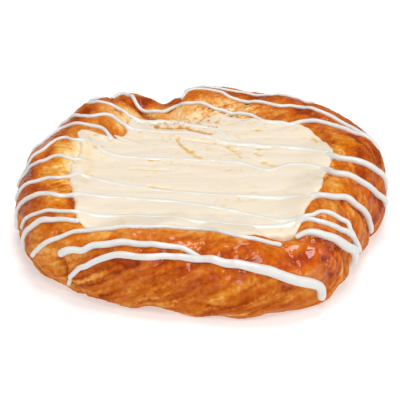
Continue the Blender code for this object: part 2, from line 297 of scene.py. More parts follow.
def closedSurface(name, rings, material, fields=None):
    # rings of points in mm, from the middle of the underside outwards, up and in to the top's middle
    rows, steps, _ = rings.shape
    points = rings.reshape(-1, 3)
    points = np.vstack((points, rings[0].mean(axis=0), rings[-1].mean(axis=0)))
    points[:, 0] += originShift[0]
    points[:, 1] += originShift[1]
    points = keepInside(points)
    number = np.arange(rows * steps).reshape(rows, steps)
    after = np.roll(number, -1, axis=1)
    quads = np.stack((number[:-1], after[:-1], after[1:], number[1:]), axis=-1).reshape(-1, 4)
    under, top = rows * steps, rows * steps + 1
    faces = quads.tolist()
    faces += [(under, after[0, step], number[0, step]) for step in range(steps)]
    faces += [(top, number[-1, step], after[-1, step]) for step in range(steps)]
    mesh = bpy.data.meshes.new(name)
    mesh.from_pydata((points * mm).tolist(), [], faces)
    for field, values in (fields or {}).items():
        attribute = mesh.attributes.new(field, "FLOAT", "POINT")
        attribute.data.foreach_set("value", np.append(values.ravel(), (values[0].mean(), values[-1].mean())))
    mesh.materials.append(material)
    mesh.shade_smooth()
    return newObject(name, mesh)


def patches(bearing, angle, table):
    # soft patches: bearing, angle, half-length round, half-length along the section, amount
    total = np.zeros_like(bearing)
    for middle, height, spread, tallness, amount in table:
        away = (wrap(bearing - middle) / spread) ** 2 + ((angle - height) / tallness) ** 2
        total += amount * np.exp(-away)
    return total


def toSegment(x, y, runX, runY):
    # distance from points to a segment that starts at the origin
    part = np.clip((x * runX + y * runY) / (runX ** 2 + runY ** 2), 0.0, 1.0)
    return np.hypot(x - part * runX, y - part * runY)


def strokes(bearing, angle, ragged, table):
    # depth in mm and browning along ways over the rope, the browning also painted shade where a way is carved
    # into a crease, seam or hole; each way is a row of (bearing, angle)
    depth = np.zeros_like(bearing)
    stainAndShade = np.zeros_like(bearing)
    for way, halfWidth, carved, browningAndShade in table:
        nearest = np.full_like(bearing, 99.0)
        for (startBearing, startAngle), (endBearing, endAngle) in zip(way, way[1:]):
            x = np.radians(wrap(bearing - startBearing)) * dough["ropeRadius"]
            y = (angle - startAngle) * dough["sectionStep"]
            runX = math.radians(endBearing - startBearing) * dough["ropeRadius"]
            runY = (endAngle - startAngle) * dough["sectionStep"]
            nearest = np.minimum(nearest, toSegment(x, y, runX, runY))
        fade = np.exp(-np.maximum(0.0, nearest / halfWidth + dough["raggedness"] * ragged) ** 2)
        depth += carved * fade
        stainAndShade += browningAndShade * fade
    return depth, stainAndShade


def spots(x, y, table, waver=0.0):
    # round patches in plan: place, reach and amount, with an edge that wavers
    total = np.zeros_like(x)
    for spotX, spotY, reach, amount in table:
        total += amount * np.exp(-(np.hypot(x - spotX, y - spotY) * (1.0 + waver) / reach) ** 2)
    return total


# Dough
dough = {
    "bearingSteps": 820,
    "outerRows": 82,
    "innerRows": 32,
    "lowest": -62.0,
    "tuck": 2.0,  # mm that the dough goes on under the edge of the cheese
    "ropeRadius": 50.0,  # mm, from the middle of the pastry to the rope
    "sectionStep": 0.2,  # mm along the rope's section for each degree
    "layers": 36,  # edges of rolled layers round the section
    "hairs": 108,
    "layerHeight": 0.34,  # mm
    "hairHeight": 0.10,
    "lumpHeight": 0.42,
    "crumbHeight": 0.45,
    "wrinkleHeight": 0.16,
    "scallopHeight": 0.5,
    "scallopLength": 6.5,
    "crinkleHeight": 0.16,
    "poreHeight": 0.08,
    "ringHeight": 0.35,
    "ringSpacing": 1.7,
    "raggedness": 0.5,
    "underCheese": 1.6,  # mm that it keeps below its own surface there
    "lobe": (308.0, 38.0),  # bearing and angle of the middle of the right-front lobe
    # how much each thing browns the crust; hollows is painted shade, darker in the hollows of the syrup lumps
    # and paler on their tops
    "tones": {"crust": 0.57, "crest": 0.02, "streaks": 0.10, "mottle": 0.11, "specks": 0.05, "crinkles": 0.22,
              "wet": 0.07, "layers": 0.12, "hairs": 0.10, "layerEdges": -0.06, "rings": 0.16,
              "hollows": 0.10},
    # bearing, angle, half-length round, half-length along the section, amount
    "browning": (
        (258, 28, 16, 14, 0.10), (240, 20, 9, 12, 0.12), (268, 45, 40, 14, 0.06), (300, 5, 8, 16, 0.02),
        (262, -10, 30, 22, 0.05), (262, 92, 22, 9, -0.22), (230, 72, 16, 14, -0.10),
        (222, 5, 10, 26, -0.10), (186, 42, 12, 22, 0.20), (200, 40, 8, 24, 0.14), (170, 88, 10, 14, -0.06),
        (186, 88, 8, 12, -0.14), (207, 78, 8, 12, -0.14), (193, 98, 9, 6, -0.22), (156, 50, 10, 18, 0.16),
        (141, 75, 6, 12, 0.28), (122, 80, 7, 12, 0.24), (128, 103, 6, 10, -0.04), (138, 98, 8, 10, -0.06),
        (135, 120, 6, 10, -0.14), (115, 92, 4, 12, 0.30), (120, 117, 3, 7, 0.20), (93, 135, 25, 34, -0.40),
        (72, 128, 13, 24, -0.34), (85, 92, 10, 8, 0.14), (98, 84, 5, 8, 0.24), (70, 82, 10, 8, 0.16),
        (58, 112, 10, 12, -0.14), (50, 85, 14, 10, 0.22), (40, 96, 9, 8, 0.24), (30, 110, 9, 9, 0.22),
        (25, 66, 14, 12, 0.14), (8, 50, 10, 14, 0.22), (10, 92, 9, 12, -0.04), (356, 66, 8, 12, 0.14),
        (352, 22, 6, 20, 0.24), (350, -5, 6, 18, 0.14), (341, 82, 8, 14, -0.12), (327, 78, 7, 14, -0.12),
        (334, 25, 4, 22, -0.02), (317, 20, 6, 28, 0.05), (308, 60, 7, 14, 0.04), (300, 62, 6, 12, -0.04),
        (292, 10, 12, 14, -0.08), (290, -20, 16, 10, 0.04), (252, 0, 14, 10, 0.02),
        (84, 104, 16, 10, -0.12), (128, 120, 12, 16, -0.16), (178, 112, 14, 10, -0.26),
        (158, 104, 8, 10, -0.12), (345, 110, 12, 10, -0.18), (262, -14, 36, 16, 0.08),
        (226, 60, 12, 14, -0.05), (280, 12, 6, 22, 0.06), (182, 92, 26, 16, -0.12), (305, 62, 8, 10, -0.08),
        (232, -4, 10, 10, 0.08), (284, 2, 8, 10, 0.08), (345, 125, 14, 20, -0.14),
        (102, 106, 10, 16, -0.22), (90, 118, 12, 16, -0.06), (84, 100, 8, 8, 0.12), (231, -2, 5, 12, 0.14),
        (277, 1, 5, 8, 0.06), (184, 99, 20, 7, -0.14), (180, 112, 16, 8, -0.12), (132, 118, 7, 10, -0.12),
        (85, 113, 12, 6, 0.12), (300, 46, 24, 14, 0.08), (308, 40, 8, 16, 0.05), (264, 44, 14, 10, 0.05),
        (0, 70, 14, 16, 0.07), (232, 60, 8, 8, -0.08), (84, 112, 14, 8, 0.16), (183, 108, 22, 8, -0.14),
        (131, 116, 8, 12, -0.14), (130, 100, 6, 10, -0.1), (20, 104, 16, 8, -0.12), (350, 95, 12, 14, 0.06),
        (190, 100, 5, 5, 0.12), (174, 104, 4, 5, 0.1), (175, 100, 14, 8, -0.06), (40, 106, 8, 8, -0.08),
    ),
    "amber": (
        (172, 90, 14, 14, 0.25), (188, 92, 10, 10, 0.4), (208, 80, 10, 12, 0.4), (228, 60, 14, 18, 0.25),
        (134, 108, 10, 14, -0.25), (8, 92, 12, 16, 0.6), (342, 82, 10, 16, 0.5), (334, 25, 5, 26, 0.7),
        (278, 8, 12, 16, 0.3), (352, 10, 8, 30, -0.3), (186, 40, 14, 20, -0.2), (92, 125, 30, 34, -0.7),
        (178, 112, 16, 12, -0.2), (182, 84, 24, 14, 0.1), (72, 120, 20, 16, -0.4),
    ),
    "glaze": (
        (270, 48, 36, 28, 0.75), (278, 24, 14, 12, 0.4), (308, 38, 12, 30, 0.9), (352, 20, 10, 30, 0.45),
        (338, 50, 12, 40, 0.3), (188, 55, 34, 35, 0.4), (116, 92, 8, 16, 0.5), (125, 85, 10, 16, 0.4),
        (40, 85, 26, 20, 0.35), (85, 92, 12, 8, 0.4), (183, 105, 26, 12, -0.5), (85, 115, 34, 14, -0.6),
        (240, -20, 30, 24, -0.25), (290, -15, 20, 20, -0.2),
    ),
    "flaky": (
        (262, -5, 40, 34, 0.9), (228, -5, 16, 36, 0.6), (318, 5, 8, 45, 0.8), (75, 112, 34, 20, 0.5),
        (45, 85, 30, 20, 0.6), (185, 40, 30, 40, 0.35), (350, 15, 22, 40, 0.7), (10, 75, 20, 30, 0.5),
    ),
    "crinkled": (
        (190, 92, 26, 20, 1.0), (345, 96, 16, 18, 0.6), (215, 60, 14, 24, 0.5), (20, 95, 16, 16, 0.6)),
    "crumbly": (
        (68, 125, 14, 20, 1.0), (92, 130, 20, 26, 0.8), (192, 106, 12, 8, 0.5), (135, 124, 6, 8, 0.6),
        (112, 124, 8, 10, 0.8), (300.5, 80, 2.5, 7, 1.0),
    ),
    # ways over the rope: points, half-width, depth, browning (also painted shade where the way is a carved
    # crease, seam or hole)
    # the two that cross bearing 0 run the long way round, over the back
    "marks": (
        (((242, 31), (249, 34)), 1.3, 0.15, 0.24), (((246, 25), (249, 30)), 0.9, 0.1, 0.14),
        (((241, 14), (244, 15)), 0.6, 0.2, 0.24), (((251, 46), (259, 47), (268, 46)), 0.8, 0.1, 0.21),
        (((236, -12), (240, 2), (246, 9)), 1.5, -0.3, -0.05),
        (((247, -9), (253, -2), (262, 9)), 0.6, -0.25, -0.09),
        (((251, -18), (256, -7), (260, 0)), 1.4, -0.35, -0.13),
        (((262, -26), (270, -24), (277, -20)), 1.3, -0.2, -0.10),
        (((271, -9), (276, -2), (281, 4), (284, 14), (288, 24)), 0.9, -0.4, -0.13),
        (((276, -10), (283, -5), (291, -3)), 1.2, -0.2, -0.08),
        (((238, -24), (246, -12), (252, -4)), 1.3, 0.3, 0.11),
        (((262, -9), (268, 2), (275, 8)), 2.4, 0.25, 0.1), (((251, 7), (256, 14)), 1.1, 0.2, 0.11),
        (((284, -20), (296, -12)), 1.6, 0.2, 0.1), (((274, -17), (277, -16)), 0.45, 0.25, 0.28),
        (((297, 9), (298.5, 5)), 1.1, 0.6, 0.28), (((292, 14), (295, 4), (294, -8)), 0.7, 0.3, 0.08),
        (((223, 10), (225, -5), (225, -20), (227, -32)), 0.9, 0.8, 0.18),
        (((204, -4), (210, -20), (216, -32)), 0.6, 0.7, 0.28),
        (((259, 70), (264, 74), (270, 78)), 0.9, 0.2, 0.13), (((274, 72), (284, 73)), 0.9, 0.1, 0.1),
        (((246, 74), (252, 84), (262, 88)), 0.7, 0.15, 0.08),
        (((318, 30), (320, 12), (320, -10)), 0.7, 0.6, 0.21),
        (((315, 34), (316, 12), (316, -10)), 0.6, 0.4, 0.17),
        (((312, 12), (313, -4), (312, -24)), 0.6, 0.4, 0.11), (((318, 8), (318, -16)), 0.6, -0.2, -0.11),
        (((311, 31), (312, 26)), 0.8, 0.9, 0.31), (((312, 8), (312.5, 5)), 0.9, 0.4, 0.28),
        (((304, 54), (307, 44)), 1.2, 0.2, 0.14), (((313, 58), (317, 48)), 0.9, 0.2, 0.2),
        (((307, 72), (311, 64)), 0.9, 0.2, 0.17), (((301, 66), (302, 46), (303, 30)), 0.8, 0.4, 0.07),
        (((340, 99), (345, 98), (350, 101)), 0.5, 0.3, 0.24), (((330.5, 62), (331.5, 55)), 0.9, 0.7, 0.07),
        (((336, 66), (333, 50), (332, 34), (331, 16), (331, 2)), 0.6, 0.6, 0.18),
        (((340, 34), (341, 18), (339, 0)), 0.6, 0.5, 0.14), (((346, 64), (351, 53)), 0.8, 0.3, 0.24),
        (((351, 30), (354, 20), (352, 8)), 1.3, 0.2, 0.18), (((347, 10), (347, -20)), 0.4, 0.25, 0.11),
        (((350, 6), (350, -18)), 0.4, 0.25, 0.11), (((353, 0), (353, -16)), 0.4, 0.2, 0.1),
        (((11, 56), (4, 46), (359, 36)), 1.2, 0.2, 0.18), (((2, 76), (356, 70)), 0.9, 0.2, 0.13),
        (((18, 85), (12, 78)), 0.7, 0.3, 0.2), (((26, 112), (20, 112), (15, 108)), 0.8, 0.3, 0.17),
        (((45, 92), (36, 98), (28, 90)), 0.8, 0.3, 0.17), (((65, 101), (56, 101)), 0.8, 0.2, 0.2),
        (((70, 122), (68, 108), (64, 100)), 0.8, 0.5, 0.17), (((50, 118), (45, 118)), 0.9, 0.0, 0.11),
        (((118, 122), (119, 114)), 1.0, 0.7, 0.28), (((113, 84), (116, 100), (119, 110)), 0.7, 0.6, 0.17),
        (((124, 62), (127, 82), (130, 104), (130, 118)), 0.6, 0.4, 0.14),
        (((146, 66), (137, 84)), 0.9, 0.2, 0.17), (((179, 52), (171, 84)), 0.7, 0.2, 0.08),
        (((189, 28), (183, 52)), 0.9, 0.1, 0.11), (((206, 98), (212, 92), (217, 87)), 0.8, 0.7, 0.28),
        (((219, 80), (223, 75)), 0.9, 0.4, 0.21), (((199, 98), (200, 90)), 0.7, 0.3, 0.14),
        (((196, 30), (202, 52)), 0.6, 0.2, 0.1),
    ),
}
bearings = np.arange(dough["bearingSteps"]) * 360.0 / dough["bearingSteps"]
endAngles = innerAngle(bearings, poolEdge(bearings) - dough["tuck"])
joinAngles = np.minimum(90.0, endAngles - 4.0)
outerShare = np.linspace(0.0, 1.0, dough["outerRows"])[:, None]
innerShare = (np.arange(1, dough["innerRows"] + 1) / dough["innerRows"])[:, None]
angleGrid = np.vstack((dough["lowest"] + outerShare * (joinAngles - dough["lowest"]),
                       joinAngles + innerShare * (endAngles - joinAngles)))
bearingGrid = np.repeat(bearings[None, :], len(angleGrid), axis=0)
baseRadius, baseHeight = ropeSurface(bearingGrid, angleGrid)
onRope = around(bearingGrid, baseRadius, baseHeight)

# the same place on a ring whose grain runs along the twist of the rope
phase = angleGrid - rope["twist"] * bearingGrid
along = around(bearingGrid, 12.0 + 9.0 * np.cos(np.radians(phase)), 9.0 * np.sin(np.radians(phase)))

streaks = grain(along, 2.2) + grain(along, 1.0, 5.0)
mottle = grain(onRope, 7.0, 3.0) + 0.8 * grain(onRope, 2.6, 9.0)
specks = 2.0 * grain(onRope, 0.9, 13.0)
flaky, crumbly, crinkled = (patches(bearingGrid, angleGrid, dough[name])
                            for name in ("flaky", "crumbly", "crinkled"))
flaky = np.clip(flaky, 0.0, 1.0)
crumbly = np.clip(crumbly, 0.0, 1.0)
glaze = 0.08 + patches(bearingGrid, angleGrid, dough["glaze"]) + 0.5 * grain(onRope, 4.0, 17.0)
glaze = np.clip(glaze * (1.0 - crumbly), 0.0, 1.0)

# syrup stands in pools where the glaze is thick
pools = 2.0 * grain(onRope, 4.5, 43.0) + 0.8 * grain(onRope, 2.0, 45.0)
syrup = glaze * (0.15 + 0.85 * ease((pools + 0.6) / 0.4))


def layering(count, warp, seed):
    # overlapping edges round the section: a height that climbs and drops, and each layer's own tone
    turn = phase * count / 360.0 + warp
    layer = np.floor(turn)
    climb = turn - layer
    height = climb - ease((climb - 0.8) / 0.2)
    place = around(bearingGrid, dough["ropeRadius"] / 9.0, np.mod(layer, count) * 5.3 + seed)
    return height - 0.4, 2.0 * grain(place)


layerWarp = 0.9 * grain(along, 4.0, 21.0) + 0.5 * grain(onRope, 1.5, 23.0)
hairWarp = 1.6 * grain(along, 2.5, 25.0) + 0.9 * grain(onRope, 1.0, 27.0)
layers, layerTone = layering(dough["layers"], layerWarp, 1.0)
hairs, hairTone = layering(dough["hairs"], hairWarp, 9.0)

# rings of layers round the middle of the right-front lobe
lobeBearing, lobeAngle = dough["lobe"]
lobeAway = np.hypot(np.radians(wrap(bearingGrid - lobeBearing)) * 52.0, (angleGrid - lobeAngle) * 0.19)
lobeSide = ease((lobeAway - 4.0) / 2.0) * ease((17.0 - lobeAway) / 4.0)
lobeSide = lobeSide * ease(wrap(bearingGrid - lobeBearing + 2.0) / 6.0)
rings = np.mod(lobeAway / dough["ringSpacing"] + 0.3 * grain(onRope, 5.0, 31.0), 1.0)
rings = np.abs(2.0 * rings - 1.0) - 0.5

# its middle is smooth under syrup, and so is all crust that syrup stands on
calm = 1.0 - 0.85 * np.exp(-(lobeAway / 10.0) ** 4)
syrup = np.maximum(syrup, 0.9 * ease((9.0 - lobeAway) / 3.0))
dry = calm * (1.0 - 0.9 * ease(1.5 * syrup))
opened = flaky * (1.0 - lobeSide) * (1.0 - 0.7 * glaze)

lumps = 2.0 * grain(onRope, 4.4, 41.0) + 0.9 * grain(onRope, 2.2, 47.0)
crumbs = 2.0 * grain(onRope, 1.5, 51.0) + grain(onRope, 0.8, 57.0)
wrinkles = 1.0 - 4.0 * np.abs(grain(along, 1.3, 61.0))
ragged = np.clip(2.0 * grain(onRope, 1.3, 81.0) + grain(onRope, 0.7, 83.0), -0.9, 1.0)
creases = around(bearingGrid, dough["ropeRadius"] / 1.1, angleGrid / 35.0)
crinkles = crinkled * grain(creases + 0.4 * grain(onRope, 4.0, 91.0)[..., None])
scallops = 2.0 * grain(around(bearingGrid, dough["ropeRadius"] / dough["scallopLength"], angleGrid / 70.0))
depth, stainAndShade = strokes(bearingGrid, angleGrid, ragged, dough["marks"])

fine = dry * dough["layerHeight"] * (0.25 + opened) * layers
fine += dry * dough["hairHeight"] * (0.3 + opened) * hairs
fine += dry * dough["wrinkleHeight"] * (0.4 + 0.6 * opened) * wrinkles
fine += dry * dough["poreHeight"] * specks * (1.0 - glaze)
fine += dough["ringHeight"] * lobeSide * rings
fine += dough["lumpHeight"] * glaze * lumps * (0.4 + 0.6 * calm)
fine += dough["crumbHeight"] * crumbly * crumbs
fine += dough["crinkleHeight"] * crinkles
low = ease((angleGrid - dough["lowest"]) / 25.0)
fine = (fine - depth) * low + dough["scallopHeight"] * scallops * ease(-angleGrid / 30.0)
radius, height = ropeSurface(bearingGrid, angleGrid, fine)
# where the cheese lies on it, the dough keeps below
height = height - dough["underCheese"] * ease((poolEdge(bearingGrid) - radius) / 1.3)

tones = dough["tones"]
# the ways' stains add browning, and painted shade in the carved creases, seams and holes
brown = tones["crust"] + tones["crest"] * np.sin(np.radians(angleGrid)) + stainAndShade
brown += patches(bearingGrid, angleGrid, dough["browning"])
brown += tones["streaks"] * streaks + tones["mottle"] * mottle + tones["specks"] * specks * calm
brown += tones["crinkles"] * crinkles + tones["wet"] * glaze * ragged
brown += calm * (0.4 + opened) * (tones["layers"] * layerTone + tones["hairs"] * hairTone)
brown += tones["layerEdges"] * opened * layers + tones["rings"] * lobeSide * rings
# painted shade: darker in the hollows between the syrup lumps, paler on their tops
brown += tones["hollows"] * glaze * np.clip(-lumps, -0.6, 1.0)
amber = 0.3 + patches(bearingGrid, angleGrid, dough["amber"]) + 0.3 * mottle + 0.2 * streaks
showing = ease((radius - poolEdge(bearingGrid)) / 0.8) * ease((angleGrid + 30.0) / 20.0)

wallBearing = np.repeat(bearings[None, :], 3, axis=0)
wallRadius = np.stack((radius[-1] - 0.3, radius[-1] - 0.3, radius[-1] * 0.5))
wallHeight = np.stack(((height[-1] + wellFloor) / 2.0, np.full_like(bearings, wellFloor),
                       np.full_like(bearings, wellFloor)))
baseRings = around(bearings[None, :], np.stack((radius[0] * 0.5, radius[0] * 0.97)), np.zeros((2, 1)))
doughRings = np.concatenate((baseRings, around(bearingGrid, radius, height),
                             around(wallBearing, wallRadius, wallHeight)))


def padded(field):
    # the field on the dough, held over the underside and down the wall of the well
    return np.vstack((field[:1], field[:1], field, field[-1:], field[-1:], field[-1:]))


doughFields = {"crumbled": padded(showing * crumbly ** 2), "browning": padded(np.clip(brown, 0.0, 0.95)),
               "amber": padded(np.clip(amber, 0.0, 1.0)), "glaze": padded(glaze * low),
               "syrup": padded(syrup * low)}

# Egg-washed laminated dough, baked: matte golden to red-brown, deep and wet where syrup stands on it
crustMaterial, tree, shader = newMaterial("bakedEggWashedDough")
place = addNode(tree, "ShaderNodeTexCoord").outputs["Object"]
browning, amberField, glazeField, syrupField = (
    addNode(tree, "ShaderNodeAttribute", {"attribute_name": name}).outputs["Fac"]
    for name in ("browning", "amber", "glaze", "syrup"))
fineSpots = addNode(tree, "ShaderNodeTexNoise", inputs={
    "Vector": place, "Scale": 1.0 / (1.2 * mm), "Detail": 4.0, "Roughness": 0.7})
spotted = addNode(tree, "ShaderNodeMath", {"operation": "MULTIPLY_ADD"},
                  {0: fineSpots, 1: 0.4, 2: browning})
centred = addNode(tree, "ShaderNodeMath", {"operation": "SUBTRACT"}, {0: spotted, 1: 0.2})
dryCrust, wetCrust, amberCrust = (
    addNode(tree, "ShaderNodeValToRGB", {"stops": tuple(zip((0.0, 0.2, 0.36, 0.5, 0.64, 0.8, 1.0), colours))},
            {"Fac": centred}).outputs["Color"]
    for colours in (("f1dcba", "e8be84", "dc9c52", "cc7c30", "bc621e", "a84e14", "82300a"),
                    ("f3d298", "e8a94c", "da821c", "cd6408", "c04e02", "aa3800", "862000"),
                    ("f5dca8", "edbd6a", "df9a36", "d27c14", "c46204", "aa4802", "862c00")))
crust = addNode(tree, "ShaderNodeMix", {"data_type": "RGBA"}, {0: glazeField, 6: dryCrust, 7: wetCrust})
tinted = addNode(tree, "ShaderNodeMix", {"data_type": "RGBA"}, {0: amberField, 6: crust, 7: amberCrust})
relief = roughen(tree, place, 0.5, 3.0, 0.5, 0.12)
syrupRelief = roughen(tree, place, 2.6, 0.0, 0.2, 0.3)
setSockets(tree, shader, {"Base Color": tinted, "Normal": relief,
                         "Coat Weight": syrupField, "Coat Normal": syrupRelief,
                         "Roughness": 0.6, "IOR": 1.45, "Specular IOR Level": 0.07, "Coat Roughness": 0.05,
                         "Coat IOR": 1.45, "Subsurface Weight": 0.06, "Subsurface Radius": (1.0, 0.45, 0.15),
                         "Subsurface Scale": 1.5 * mm})

bakedDough = closedSurface("bakedDough", doughRings, crustMaterial, doughFields)
print("dough:", len(bakedDough.data.polygons), "faces")

# Cream cheese
cheese = {
    "bearingSteps": 560,
    "rings": 110,
    "edgeDrop": 0.9,  # mm that its edge rounds down onto the dough
    "edgeWander": 0.6,
    "strokeHeight": 0.035,
    "dragHeight": 0.018,
    "blotchDepth": 0.09,
    # the edge swells where the cheese was pushed over the dough: bearing, mm, half-length round
    "swollen": ((185, 0.5, 24), (235, 0.15, 20), (330, 0.1, 30)),
    # torn edges and knife marks: way in plan, half-width, depth, yellow, toast
    "marks": (
        (((-6, 16), (-6, 13.5), (-4, 10), (-2, 7.5)), 0.45, 0.5, 0.7, 0.2),
        (((-2, 7.5), (1, 3)), 0.9, 0.3, 0.6, 0.05),
        (((-12.9, 23.7), (-12, 21.8), (-3.3, 21.9), (-0.8, 20.1), (4.2, 17.7)), 0.7, 0.6, 0.6, 0.9),
        (((9, 11.5), (12.5, 7)), 1.0, 0.5, 0.6, 0.0), (((16.8, 10.5), (19.3, 9)), 0.6, 0.4, 0.7, 0.1),
        (((18, 6.5), (19.3, 5.3)), 0.5, 0.4, 0.7, 0.1), (((13, 4.8), (13.7, 4)), 0.4, 0.3, 0.8, 0.1),
        (((20.5, 1.5), (23.4, -0.6)), 0.8, 0.35, 0.45, 0.0),
        (((18.6, 20.4), (20.3, 19.8)), 0.5, 0.3, 0.6, 0.1),
        (((36, 15.5), (37.3, 13.2)), 0.7, 0.3, 0.6, 0.15), (((-14.4, 2), (-11.8, 2)), 0.35, 0.15, 0.9, 0.2),
        (((5, 2), (8.8, 2)), 0.35, 0.15, 0.9, 0.2), (((-14.4, -12.6), (-7.8, -14)), 0.5, 0.3, 0.55, 0.0),
        (((-20, -2.5), (-8, -3.5)), 0.6, 0.2, 0.25, 0.0), (((8, 12), (22, 9)), 0.8, 0.25, 0.2, 0.0),
        (((-3, 14.5), (4, 12.5), (9, 12)), 0.6, 0.3, 0.35, 0.0), (((3, 11), (16, 4)), 0.6, 0.2, 0.2, 0.0),
        (((-33, 6), (-32, -2), (-33.5, -10)), 1.6, 0.35, 0.3, 0.0),
    ),
    # toasted specks: place in plan, half-width, toast
    "specks": (
        (6.5, 24.6, 0.8, 0.7), (7.5, 18.6, 0.6, 0.5), (5, 21.6, 0.7, 0.6), (2.6, 21.3, 0.6, 0.6),
        (0.5, 24.4, 0.7, 0.6), (3.6, 26.3, 0.8, 0.7), (-2.4, 25.4, 0.7, 0.6), (-6.5, 24.8, 0.8, 0.5),
        (-9.4, 25.2, 0.9, 0.5), (-31, 15.3, 0.5, 0.7), (-31, 8, 0.5, 0.7), (-28.8, 9.2, 0.5, 0.5),
        (-26, 13.5, 0.6, 0.6), (-27.8, 14, 0.4, 0.5), (-21.3, 24.5, 0.6, 0.6), (-17.5, 18.4, 0.5, 0.5),
        (27.5, -39.5, 0.8, 0.4),
    ),
    # where the cheese thins out over the dough and takes its colour: place in plan, reach, amount
    "thin": (
        (2, 27, 5, 0.34), (-10, 28.5, 6, 0.5), (-6, 24, 4, 0.2), (-34.5, 17, 3, 0.25), (16, 27, 4, 0.2),
    ),
    # crumbs lying on it: place in plan, reach, how many
    "crumbs": ((3, 24, 4, 0.35), (-8, 26, 6, 0.4), (27.5, -39.5, 2, 0.5), (-30, 13, 4, 0.1)),
}
cheeseBearings = np.arange(cheese["bearingSteps"]) * 360.0 / cheese["bearingSteps"]
edgePlace = around(cheeseBearings, 38.0, 0.0 * cheeseBearings)
edge = poolEdge(cheeseBearings) + cheese["edgeWander"] * (
    grain(edgePlace, 6.0, 61.0) + 0.8 * grain(edgePlace, 2.0, 63.0)) + 0.1
share = np.linspace(0.02, 1.0, cheese["rings"])
ringRadius = share[:, None] * edge[None, :]
cheeseGrid = np.repeat(cheeseBearings[None, :], len(share), axis=0)
flat = around(cheeseGrid, ringRadius, 0.0 * ringRadius)
x, y = flat[..., 0], flat[..., 1]
bend = 1.5 * grain(np.stack((x / 30, y / 8, 0 * x), axis=-1))
sweep = np.stack((x / 16.0, (y + bend) / 1.4, 0 * x), axis=-1)
drag = grain(sweep)
fineDrag = grain(np.stack((x / 9.0, y / 0.7, 0 * x + 4.0), axis=-1))
waver = grain(flat, 2.0, 71.0) + 0.6 * grain(flat, 0.9, 73.0)
cut = np.zeros_like(x)
yellow = np.zeros_like(x)
toast = spots(x, y, cheese["specks"], 0.7 * waver)
for way, halfWidth, carved, yellowed, toasted in cheese["marks"]:
    nearest = np.full_like(x, 99.0)
    for (startX, startY), (endX, endY) in zip(way, way[1:]):
        nearest = np.minimum(nearest, toSegment(x - startX, y - startY, endX - startX, endY - startY))
    fade = np.exp(-(np.maximum(0.0, nearest + 0.5 * waver) / halfWidth) ** 2)
    cut += carved * fade
    yellow += yellowed * fade
    toast += toasted * fade
curdled = 2.0 * grain(flat, 1.2, 77.0) + grain(flat, 0.6, 79.0)
blotches = ease(2.5 * (grain(flat, 2.3, 85.0) + 0.5 * grain(flat, 1.0, 87.0) - 0.12))
blotches = blotches * (0.35 + 0.65 * ease(3.0 * grain(flat, 14.0, 89.0) + y / 40.0 + 0.4))
thinned = spots(x, y, cheese["thin"])
toast = np.clip(toast + thinned * (0.35 + 0.8 * np.clip(curdled, -0.45, 1.0)), 0.0, 1.0)
fromEdge = edge[None, :] - ringRadius
top = cheeseLevel(x, y) + cheese["strokeHeight"] * drag + cheese["dragHeight"] * fineDrag - cut
top = top - cheese["blotchDepth"] * blotches
top = top + swell(cheeseGrid, cheese["swollen"]) * np.exp(-((fromEdge - 2.2) / 2.0) ** 2)
top = top + 0.14 * np.clip(2.0 * thinned, 0.0, 1.0) * curdled
top = top - cheese["edgeDrop"] * np.clip(1.0 - fromEdge / 1.3, 0.0, 1.0) ** 2.2
yellow += 0.12 - 0.14 * drag - 0.10 * fineDrag + 0.38 * blotches + 0.25 * np.exp(-fromEdge / 1.2)
yellow = np.clip(yellow, 0.0, 1.0)
sideRings = around(cheeseBearings[None, :], np.stack((edge * 0.5, edge - 0.4, edge - 0.2)),
                   np.stack((0 * edge + wellFloor + gap, 0 * edge + wellFloor + gap, 0 * edge + 14.0)))
topRings = around(cheeseGrid, ringRadius, top)[::-1]
cheeseRings = np.concatenate((sideRings, topRings))
crumbled = spots(x, y, cheese["crumbs"])
cheeseFields = {name: np.vstack((np.zeros((3, len(edge))), field[::-1]))
                for name, field in (("crumbled", crumbled), ("yellow", yellow), ("toast", toast))}

# Sweetened cream cheese, spread with a knife: cream white, yellower and moister in the knife marks
cheeseMaterial, tree, shader = newMaterial("spreadCreamCheese")
place = addNode(tree, "ShaderNodeTexCoord").outputs["Object"]
yellowField = addNode(tree, "ShaderNodeAttribute", {"attribute_name": "yellow"}).outputs["Fac"]
toastField = addNode(tree, "ShaderNodeAttribute", {"attribute_name": "toast"}).outputs["Fac"]
clouds = addNode(tree, "ShaderNodeTexNoise", inputs={
    "Vector": place, "Scale": 1.0 / (9.0 * mm), "Detail": 3.0})
cloudy = addNode(tree, "ShaderNodeMath", {"operation": "MULTIPLY_ADD"}, {0: clouds, 1: 0.3, 2: yellowField})
cream = addNode(tree, "ShaderNodeValToRGB", {"stops": (
    (0.1, "e9ddcd"), (0.45, "e8d8be"), (0.75, "e6cd9f"), (1.0, "deb66f"))}, {"Fac": cloudy})
toasted = addNode(tree, "ShaderNodeMix", {"data_type": "RGBA"},
                  {0: toastField, 6: cream, 7: hexColour("c08432")})
relief = roughen(tree, place, 0.8, 3.0, 0.25, 0.1)
setSockets(tree, shader, {"Base Color": toasted, "Normal": relief, "Roughness": 0.42, "IOR": 1.45,
                          "Subsurface Weight": 0.12, "Subsurface Radius": (1.0, 0.7, 0.4),
                          "Subsurface Scale": 1.5 * mm})

creamCheese = closedSurface("creamCheese", cheeseRings, cheeseMaterial, cheeseFields)
print("cream cheese:", len(creamCheese.data.polygons), "faces")

